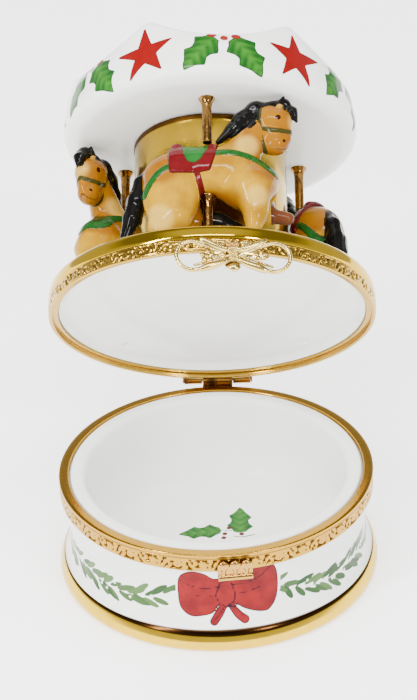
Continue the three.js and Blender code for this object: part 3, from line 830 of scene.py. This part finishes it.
# ---------------------------------------------------------------- posts
def posts():
    for place, turn in HORSE_TURNS.items():
        for level in ("upper", "lower"):
            node = f"{level}_post_{place}"
            low, high = cad_box(node, LID, turn)
            z0, z1 = low[2], high[2]
            head = CANOPY_Z + 0.02 if level == "upper" else z1
            neck = [(0, z0), (0.9, z0, 0.2), (0.92, head - 2.0, 0.5), (1.05, head - 1.0, 0.5),
                    (1.45, head - 0.35, 0.3), (1.62, head - 0.02, 0.1)]
            top = [(1.3, head, 0.1), (0, head - 0.1)]
            if level == "upper":
                top = [(1.0, head, 0.1), (0.93, z1, 0.1), (0, z1)]
            points, faces = revolve(resample(fillet(neck + top, 5), 0.3, False), 48, False)
            angle = np.arctan2(points[:, 0], -points[:, 1])
            z = points[:, 2]
            swell = 1 + 0.02 * np.sin(z * 2.3 + 2 * angle) + 0.015 * np.sin(z * 5.1 + angle)
            points[:, :2] *= np.minimum(swell, 1.0)[:, None]
            worn = 0.55 + 0.35 * np.sin(z * 1.7 + angle * 2) * np.sin(z * 0.9)
            points[:, 1] -= POST_RING_R
            points = turn_z(points, turn)
            make_mesh(node, "turned", points, faces, LID, post_metal, {"relief": worn})


# ---------------------------------------------------------------- horses
# Side views of a horse facing +X: (x, z, radius) along the hair, (x, z) along the harness.
MANE = [(2.0, 26.9, 0.5), (4.6, 28.9, 1.4), (6.8, 31.0, 1.9), (9.0, 33.0, 1.8), (12.0, 33.4, 1.3),
        (14.4, 34.2, 1.15), (16.0, 32.6, 0.95), (16.7, 30.8, 0.35)]
TAIL = [(-10.9, 20.8, 0.8), (-12.3, 18.6, 1.3), (-13.1, 15.0, 1.7), (-13.9, 11.2, 1.7), (-15.2, 7.6, 0.9)]


def lift(knots):
    """Side-view knots set on the horse's middle plane."""
    return [(x, 0, z, radius) for x, z, radius in knots]


def in_side(p):
    """Side view of a point as it looks from a little below, where the flanks rise towards the eye."""
    return np.stack([p[:, 0], p[:, 2] + 0.36 * np.abs(p[:, 1])], 1)


def horse_body(p):
    q = p * np.array([1, 1 / 0.9, 1])
    torso = union([
        egg(q, (-7.0, 0, 18.2), (5.3, 5.3, 5.7)),
        limb(q, (-4, 0, 20.4), (3, 0, 20.3), 4.6, 4.6),
        egg(q, (7.6, 0, 17.6), (5.5, 4.9, 4.9)),
        limb(q, (4.6, 0, 21.2), (9.2, 0, 28.8), 4.1, 2.7),
    ], 2.0)
    near = union([
        egg(q, (-6.6, -2.5, 14.2), (5.2, 3.3, 6.4)),
        limb(q, (-6.0, -2.8, 10.6), (-8.8, -2.7, 8.4), 3.3, 2.0),
        limb(q, (-8.8, -2.7, 8.4), (-7.8, -2.7, 6.4), 1.7, 1.4),
    ], 1.4)
    far = union([
        egg(q, (-6.6, 2.5, 14.2), (5.0, 3.2, 5.6)),
        limb(q, (-4.6, 3.2, 12.0), (1.6, 3.5, 11.4), 2.9, 2.1),
        limb(q, (1.6, 3.5, 11.4), (5.2, 3.5, 9.6), 2.1, 1.9),
    ], 1.4)
    fore = union([
        limb(q, (8.2, -2.2, 15.6), (8.8, -2.7, 10.8), 4.1, 2.1),
        limb(q, (8.8, -2.7, 10.8), (8.2, -2.7, 6.8), 1.9, 1.3),
    ], 1.4)
    stretched = union([
        limb(q, (9.0, 2.2, 16.2), (10.8, 2.6, 12.6), 3.4, 1.7),
        limb(q, (10.8, 2.6, 12.6), (14.6, 2.6, 11.8), 1.5, 1.25),
    ], 1.0)
    return union([torso, near, far, fore, stretched], 1.2)


def horse_head(p):
    q = p * np.array([1, 1 / 0.92, 1])
    skull = union([
        limb(q, (11.4, 0, 31.0), (13.0, 0, 30.6), 2.9, 2.7),
        limb(q, (12.5, 0, 30.4), (12.6, 0, 26.5), 2.8, 2.25),
        egg(q, (12.6, 0, 25.9), (2.5, 2.1, 1.9)),
        limb(q, (14.2, 0, 31.2), (14.6, 0, 27.2), 1.3, 1.05),
        limb(q, (10.8, 0, 28.6), (11.3, 0, 26.6), 1.8, 1.3),
    ], 0.9)
    return skull


def horse_ears(p):
    return np.minimum(limb(p, (13.6, -1.4, 33.6), (14.4, -1.6, 35.0), 0.7, 0.3),
                      limb(p, (13.6, 1.4, 33.6), (14.4, 1.6, 35.0), 0.7, 0.3))


def horse_hair(p):
    strands = 0.05 * np.sin(4.2 * (p[:, 2] * 0.75 - p[:, 0] * 0.55) + 1.3 * np.sin(p[:, 2]))
    mane = chain(p * np.array([1, 0.8, 1]), lift(MANE), 0.5) + strands
    locks = 0.06 * np.sin(5.0 * p[:, 1] + 0.8 * p[:, 2]) * np.clip((20 - p[:, 2]) / 5, 0, 1)
    tail = chain(p * np.array([1, 0.92, 1]), lift(TAIL), 0.6) + locks
    return np.minimum(mane, tail)


BLANKET = [(-7.0, 26.6), (-4.4, 25.6), (2.0, 26.8), (1.2, 23.2), (0.4, 20.7), (-1.6, 20.3), (-6.5, 20.2),
           (-6.9, 23.6)]
SEAT = [(-4.6, 26.8), (-4.4, 24.2), (-3.6, 22.4), (-2.3, 21.9), (-1.1, 22.8), (0.1, 24.9), (0.5, 27.4)]
BREAST = [(1.2, 24.0), (4.0, 24.1), (7.0, 23.4), (9.6, 22.1), (11.4, 20.6), (13.5, 19.0)]
CRUPPER = [(-6.4, 21.6), (-8.6, 20.3), (-10.4, 18.0), (-11.6, 15.4)]
GIRTH = [(-2.0, 21.2), (-1.6, 19.2), (-1.0, 16.4), (-0.9, 14.5)]
NOSEBAND = [(9.6, 29.3), (12.4, 28.7), (16.2, 28.3)]
CHEEK = [(9.9, 33.4), (9.7, 30.6), (10.0, 27.4), (10.8, 24.4)]


def saddle(p, body):
    side = in_side(p)
    cloth = np.maximum(body - 0.42, flat_polygon(side, BLANKET) - 0.15)
    seat = union([
        limb(p, (-5.6, -1.2, 24.9), (-5.6, 1.2, 24.9), 1.0, 1.0),
        limb(p, (-5.6, 0, 24.0), (0.9, 0, 24.2), 1.9, 1.6),
        limb(p, (1.0, -0.8, 25.0), (1.0, 0.8, 25.0), 0.9, 0.9),
    ], 1.0)
    return smooth_min(cloth, seat, 0.5)


def straps(p, body, head):
    side = in_side(p)
    low = np.minimum.reduce([
        line(side, BREAST, 0.55, 3),
        line(side, CRUPPER, 0.55, 3),
        line(side, GIRTH, 0.5, 3),
    ])
    high = np.minimum(line(side, NOSEBAND, 0.42, 3), line(side, CHEEK, 0.4, 3))
    return np.minimum(np.maximum(body - 0.2, low), np.maximum(head - 0.18, high))


def horse_shape(p):
    body, head = horse_body(p), horse_head(p)
    flesh = smooth_min(body, head, 0.8)
    flesh = smooth_min(flesh, horse_ears(p), 0.3)
    gear = np.minimum(saddle(p, body), straps(p, body, head))
    for side in (-1, 1):
        eye = limb(p, (13.3, side * 2.15, 31.3), (13.3, side * 2.25, 31.3), 0.42, 0.42)
        flesh = smooth_min(flesh, eye, 0.15)
        flesh = np.maximum(flesh, -limb(p, (14.4, side * 1.75, 26.4), (14.4, side * 2.3, 26.4), 0.3, 0.3))
    return smooth_min(smooth_min(flesh, gear, 0.15), horse_hair(p), 0.2)


def horse_paint(p):
    """A value per point for each of the horse's colours, for its painted shade and for its cream that is partly
    painted highlight, negative inside its shape.
    """
    side = in_side(p)
    body, head = horse_body(p), horse_head(p)
    strands = 0.25 * np.sin(5.2 * (p[:, 2] * 0.75 - p[:, 0] * 0.55) + 1.3 * np.sin(p[:, 2]))
    mane2d = chain(side, [(k[0], k[1] + 0.5, k[2] + 0.5) for k in MANE], 0.5)
    mane = np.where(side[:, 0] < 9.5, mane2d + strands, mane2d - 0.1)
    hair = horse_hair(p)
    face = (p[:, 0] > 9.8) & (p[:, 2] < 33.4) & (np.abs(p[:, 1]) > 0.9)
    black = np.where(face, np.maximum(mane, hair - 0.1), mane)
    tail = chain(p, lift([(k[0], k[1], k[2] + 0.45) for k in TAIL]), 0.5)
    black = np.minimum(black, np.maximum(tail, side[:, 0] + 10.2))
    dark_leg = np.maximum(-1.2 - p[:, 0], limb(p, (-2, 3.3, 11.8), (5.6, 3.4, 9.6), 3.0, 3.0))
    dark_leg = np.maximum(dark_leg, 0.9 - p[:, 1])
    black = np.minimum(black, dark_leg)
    blanket = flat_polygon(side, BLANKET) - 0.3
    on_saddle = saddle(p, body) - 0.12
    cloth = np.minimum(blanket, np.maximum(on_saddle, 20.6 - p[:, 2]))
    red = np.minimum(cloth, line(side, GIRTH, 0.55, 3))
    seat = np.maximum(flat_polygon(side, SEAT), 20.4 - p[:, 2])
    green = np.minimum(line(side, BREAST, 0.6, 3), line(side, CRUPPER, 0.6, 3))
    olive = np.minimum(line(side, NOSEBAND, 0.46, 3), line(side, CHEEK, 0.42, 3))
    olive = np.where(head < 0.6, olive, FAR)
    eye = np.minimum(np.sqrt((side[:, 0] - 13.3) ** 2 + (side[:, 1] - 31.3) ** 2) - 0.5,
                     np.sqrt((side[:, 0] - 14.3) ** 2 + (side[:, 1] - 26.5) ** 2) - 0.3)
    eye = np.where(np.abs(p[:, 1]) > 0.7, eye, FAR)
    mouth = line(side, [(12.6, 25.0), (14.0, 24.8), (15.2, 25.3)], 0.08, 3)
    # Cream patches on the face, ears, hind leg, neck front and chest: partly the horse's lighter paint, partly
    # painted highlight.
    cream_and_highlight = np.minimum.reduce([
        np.sqrt(((p - (15.4, 0, 30.2)) ** 2).sum(1)) - 1.6,
        horse_ears(p) - 0.25,
        np.sqrt(((side - (-8.6, 11.0)) ** 2).sum(1)) - 2.6,
        np.sqrt(((side - (7.4, 25.4)) ** 2).sum(1)) - 2.2,
        np.sqrt(((side - (9.2, 15.0)) ** 2).sum(1)) - 2.0,
    ])
    # Painted shade under the belly between the legs; the same layer darkens the head away from the neck.
    crease_shade = np.clip((1.6 - np.abs(side[:, 0] - 1.5) / 3) * (17.4 - side[:, 1]) / 2.6, 0, 1)
    crease_shade = np.maximum(crease_shade, np.clip((body + 0.9) / 1.2, 0, 1) * (head < 0.5) * 0.6)
    brown = np.maximum(11.6 - p[:, 0], np.maximum(p[:, 2] - 14.2, -p[:, 1]))
    return {"black": black, "red": red, "seat": seat, "green": green, "olive": olive,
            "eye": np.minimum(eye, mouth), "cream_and_highlight": cream_and_highlight, "crease_shade": crease_shade, "brown": brown}


def horses():
    points, faces = sculpt(horse_shape, (-17, -6.4, 4.6), (18.2, 6.4, 36.6), 0.26)
    paint = horse_paint(points)
    for place, turn in HORSE_TURNS.items():
        standing = turn_z(points - (0, POST_RING_R, 0), turn)
        make_mesh(f"horse_{place}", "glazed", standing, faces, LID, horse_glaze, paint)


# ---------------------------------------------------------------- clasp
def bow_shape(p):
    """The bow facing -Y, its knot at x = 0, z = 0 and its back at y = 0."""
    q = p + np.array([0, 0.5, 0])

    outer_loop = ((0.8, 0, 0.5, 0.3), (3.0, 0, 0.9, 0.3), (5.2, 0, 1.7, 0.32), (7.4, 0, 2.25, 0.34),
                  (9.4, 0, 1.4, 0.36), (10.1, 0, -0.6, 0.36), (9.2, 0, -2.5, 0.36), (7.3, 0, -3.3, 0.36),
                  (5.3, 0, -2.8, 0.34), (3.0, 0, -1.7, 0.32), (0.8, 0, -0.8, 0.3))
    thread = ((1.0, -0.05, -0.4, 0.24), (3.2, -0.05, -1.0, 0.24), (5.4, -0.05, -1.9, 0.24),
              (6.9, 0, -2.4, 0.22))
    upper_fold = ((0.7, -0.1, 0.7, 0.4), (2.8, -0.12, 1.3, 0.5), (4.4, -0.1, 2.0, 0.5),
                  (5.6, -0.1, 2.6, 0.42))
    lower_fold = ((0.8, -0.1, -1.2, 0.42), (2.6, -0.12, -2.0, 0.6), (4.4, -0.1, -2.6, 0.66),
                  (5.6, -0.1, -3.1, 0.5))
    parts = []
    for side in (-1, 1):
        for knots in (outer_loop, thread, upper_fold, lower_fold):
            parts.append(chain(q, curve([(side * x, y, z, r) for x, y, z, r in knots], 4), 0.12))
        parts.append(egg(q, (side * 2.1, 0.05, 2.2), (0.95, 0.36, 0.36)))
        parts.append(egg(q, (side * 3.2, 0.05, 0.2), (1.9, 0.2, 0.75)))
    parts.append(egg(q, (0.15, -0.12, -2.6), (1.15, 0.5, 0.8)))
    parts.append(slab(q, (-0.85, -0.42, -1.5), (0.85, 0.3, 1.3), 0.35))
    for z in (-0.9, -0.3, 0.3, 0.9):
        parts.append(limb(q, (-0.7, -0.42, z), (0.7, -0.42, z + 0.15), 0.17, 0.17))
    for k in range(5):
        a = math.radians(90 + 72 * k)
        c, s = math.cos(a), math.sin(a)
        parts.append(egg(q, (-4.6 + 0.85 * c, -0.15, -0.7 + 0.85 * s), (0.55, 0.42, 0.55)))
        parts.append(egg(q, (4.9 + 0.9 * c, -0.1, -0.3 + 0.55 * s), (0.42, 0.36, 0.36)))
    parts.append(egg(q, (-4.6, -0.3, -0.7), (0.36, 0.3, 0.36)))
    parts.append(egg(q, (4.9, 0, -0.3), (1.5, 0.36, 0.8)))
    return union(parts, 0.1)


def formed(node, finish, shape, box, place, relief, turn=0, step=0.12, margin=0.4):
    """A brass piece sculpted in its node's box, with the relief worked out from its points."""
    low, high = box
    points, faces = sculpt(shape, low - margin, high + margin, step)
    layers = {"relief": relief(points)}
    make_mesh(node, finish, turn_z(points, turn), faces, place, hinge_brass, layers)


def bow():
    low = cad_box("clasp_bow", LID, CLASP_TURN)[0]
    points, faces = sculpt(bow_shape, (-11, -1.4, -4.4), (11, 0.4, 3.5), 0.12)
    relief = {"relief": np.clip((-points[:, 1] - 0.25) / 0.6, 0, 1) * 0.7 + 0.25}
    points = turn_z(points + np.array([0.7, low[1] + 1.02, -2.2]), CLASP_TURN)
    make_mesh("clasp_bow", "cast", points, faces, LID, bow_brass, relief)


def tongue():
    lo, hi = box = cad_box("clasp_tongue", LID, CLASP_TURN)

    def shape(p):
        plate = slab(p, (-0.7, lo[1], lo[2] + 0.3), (2.0, lo[1] + 0.42, 0.6), 0.18)
        pad = slab(p, (-0.7, lo[1], -1.4), (2.0, hi[1], 0.6), 0.18)
        nib = slab(p, (-0.3, lo[1], lo[2] + 0.3), (1.6, lo[1] + 0.8, lo[2] + 0.9), 0.2)
        return union([plate, pad, nib], 0.15)

    def relief(points):
        return np.full(len(points), 0.8)

    formed("clasp_tongue", "formed", shape, box, LID, relief, CLASP_TURN, margin=0.5)


def catch():
    lo, hi = box = cad_box("front_catch", BASE, CLASP_TURN)
    half, top = hi[0], hi[2]

    def shape(p):
        back = hi[1] - 0.45
        lobe = half / 3
        plate = slab(p, (-half, back - 0.25, lo[2] + 0.2), (half, back + 0.35, top - lobe), 0.15)
        bar = tube(p - np.array([0, lo[1] + 0.62, lo[2] + 0.66]), 0.6, -half, half, 0.12)
        lobes = [egg(p, (x, back, top - lobe), (lobe, 0.5, lobe)) for x in (-2 * lobe, 0, 2 * lobe)]
        flutes = [limb(p, (x, back - 0.1, lo[2] + 1.0), (x, back - 0.1, top - 0.9), 0.32, 0.4)
                  for x in (-half * 0.66, 0, half * 0.66)]
        return union([*lobes, plate, bar, *flutes], 0.12)

    def relief(points):
        return np.clip((hi[1] - points[:, 1]) / 0.9, 0.35, 1)

    formed("front_catch", "cast", shape, box, BASE, relief, CLASP_TURN, 0.11, 0.5)


# ---------------------------------------------------------------- hinge, built about its own axis
AXIS = Matrix.Translation((0, HINGE[1] * MM, 0))
BARREL_R = 0.95
BORE_R = 0.65
PIN_R = 0.36
KNUCKLE = 3.6  # length of each outer knuckle
LEAF = 0.6  # thickness of the leaves


def bored(p, leaf):
    return np.maximum(leaf, BORE_R - np.sqrt(p[:, 1] ** 2 + p[:, 2] ** 2))


def hinge_pieces():
    base_axis, lid_axis = RIM_UP @ AXIS, LID @ AXIS
    lo, hi = base_box = cad_box("base_hinge_leaf", base_axis)
    lid_lo, lid_hi = lid_box = cad_box("lid_hinge_leaf", lid_axis)
    half = hi[0]
    inner = half - KNUCKLE
    middle = inner - 0.12

    def base_leaf(p):
        plate = slab(p, (-half, lo[1], lo[2]), (half, lo[1] + LEAF, lo[2] + 2.2), 0.2)
        web = slab(p, (-middle, lo[1], -1.6), (middle, -0.3, -0.75), 0.15)
        return bored(p, union([plate, web, tube(p, BARREL_R, -middle, middle, 0.1)], 0.15))

    def lid_leaf(p):
        parts = [slab(p, (-half, lid_lo[1], 1.3), (half, lid_lo[1] + LEAF, lid_hi[2]), 0.2)]
        for x0, x1 in ((-half, -inner), (inner, half)):
            parts.append(slab(p, (x0, lid_lo[1], 0.4), (x1, lid_lo[1] + LEAF, 1.6), 0.15))
            parts.append(tube(p, BARREL_R, x0, x1, 0.12))
        return bored(p, union(parts, 0.15))

    def pin(p):
        heads = [tube(p, 0.8, -half - 0.35, -half - 0.04, 0.14), tube(p, 0.8, half + 0.04, half + 0.35, 0.14)]
        return np.minimum.reduce([tube(p, PIN_R, -half - 0.2, half + 0.2, 0.05), *heads])

    def rubbed(start):
        return lambda points: 0.45 + 0.3 * np.sin(points[:, 0] * 1.3 + start)

    pin_box = cad_box("hinge_pin", base_axis)
    formed("base_hinge_leaf", "formed", base_leaf, base_box, base_axis, rubbed(0))
    formed("lid_hinge_leaf", "formed", lid_leaf, lid_box, lid_axis, rubbed(1))
    formed("hinge_pin", "turned", pin, pin_box, base_axis, lambda points: np.full(len(points), 0.7), step=0.1)


base_bowl()
base_bezel()
lid_bezel()
lid_plate()
column()
canopy()
posts()
horses()
bow()
tongue()
catch()
hinge_pieces()


# ---------------------------------------------------------------- floor, lights, camera
def floor():
    mesh = bpy.data.meshes.new("floor")
    half = 1.2
    corners = [(-half, -half, 0), (half, -half, 0), (half, half, 0), (-half, half, 0)]
    mesh.from_pydata(corners, [], [(0, 1, 2, 3)])
    n = Nodes("floor_paper")
    n.set(Base_Color=n.mottled(3.0, (0.88, 0.88, 0.88), (0.86, 0.86, 0.86), 2.0), Roughness=0.75,
          Emission_Color=(1.0, 1.0, 1.0), Emission_Strength=FLOOR_GLOW)
    mesh.materials.append(n.material)
    plane = bpy.data.objects.new("floor", mesh)
    bpy.context.scene.collection.objects.link(plane)


# Places and sizes from here on are in metres.
def turned_lamp(name, lamp, place, aim, mirrored=True):
    o = bpy.data.objects.new(name, lamp)
    o.location = place
    o.rotation_euler = (Vector(aim) - Vector(place)).to_track_quat("-Z", "Y").to_euler()
    o.visible_glossy = mirrored
    bpy.context.scene.collection.objects.link(o)


def strip_light(name, place, width, height, power):
    lamp = bpy.data.lights.new(name, "AREA")
    lamp.shape = "RECTANGLE"
    lamp.size, lamp.size_y = width, height
    lamp.energy = power
    turned_lamp(name, lamp, place, (0, 0, 0.06))


def soft_light(name, place, strength, spread):
    """Wide studio light that colours and shades but leaves no reflection of its own."""
    lamp = bpy.data.lights.new(name, "SUN")
    lamp.energy = strength
    lamp.angle = math.radians(spread)
    turned_lamp(name, lamp, place, (0, 0, 0.04), False)


def lights():
    soft_light("overhead", (-0.1, -0.35, 1.0), 4.2, 110)
    soft_light("front", (-0.25, -1.0, 0.35), 1.9, 80)
    soft_light("behind", (0.1, 0.8, 0.9), 1.2, 90)
    strip_light("left_strip", (-0.34, -0.36, 0.40), 0.05, 0.32, 3.6)
    strip_light("right_window", (0.30, -0.42, 0.42), 0.09, 0.09, 1.8)
    strip_light("high_bar", (0.0, -0.22, 0.62), 0.34, 0.05, 2.2)
    world = bpy.data.worlds.new("studio")
    bpy.context.scene.world = world
    world.use_nodes = True
    tree = world.node_tree
    ground = tree.nodes["Background"]
    where = tree.nodes.new("ShaderNodeTexCoord")
    split = tree.nodes.new("ShaderNodeSeparateXYZ")
    ramp = tree.nodes.new("ShaderNodeValToRGB")
    tree.links.new(where.outputs["Generated"], split.inputs[0])
    tree.links.new(split.outputs["Z"], ramp.inputs[0])
    tree.links.new(ramp.outputs[0], ground.inputs["Color"])
    bands = ((0.0, 0.95), (0.42, 0.85), (0.62, 0.30), (0.84, 0.32), (0.95, 1.0))
    while len(ramp.color_ramp.elements) < len(bands):
        ramp.color_ramp.elements.new(0.5)
    for element, (height, value) in zip(ramp.color_ramp.elements, bands):
        element.position = height
        element.color = (value, value, value * 0.98, 1)
    ground.inputs["Strength"].default_value = 0.95


def camera():
    rim = Vector((0, 0, HINGE[2] * MM))
    azimuth, elevation, roll = (math.radians(a) for a in (1.8, 32.45, -2.2))
    away = Vector((math.sin(azimuth) * math.cos(elevation), -math.cos(azimuth) * math.cos(elevation),
                   math.sin(elevation)))
    place = rim + 0.420 * away
    aim = rim + Vector((-0.00054, 0, 0.02514))
    look = (aim - place).normalized()
    right = look.cross(Vector((0, 0, 1))).normalized()
    up = right.cross(look)
    side = right * math.cos(roll) + up * math.sin(roll)
    top = -right * math.sin(roll) + up * math.cos(roll)
    data = bpy.data.cameras.new("camera")
    data.sensor_width = 36
    data.lens = 113.1
    data.clip_start = 0.01
    o = bpy.data.objects.new("camera", data)
    o.matrix_world = Matrix((side, top, -look)).transposed().to_4x4()
    o.location = place
    bpy.context.scene.collection.objects.link(o)
    bpy.context.scene.camera = o


floor()
lights()
camera()
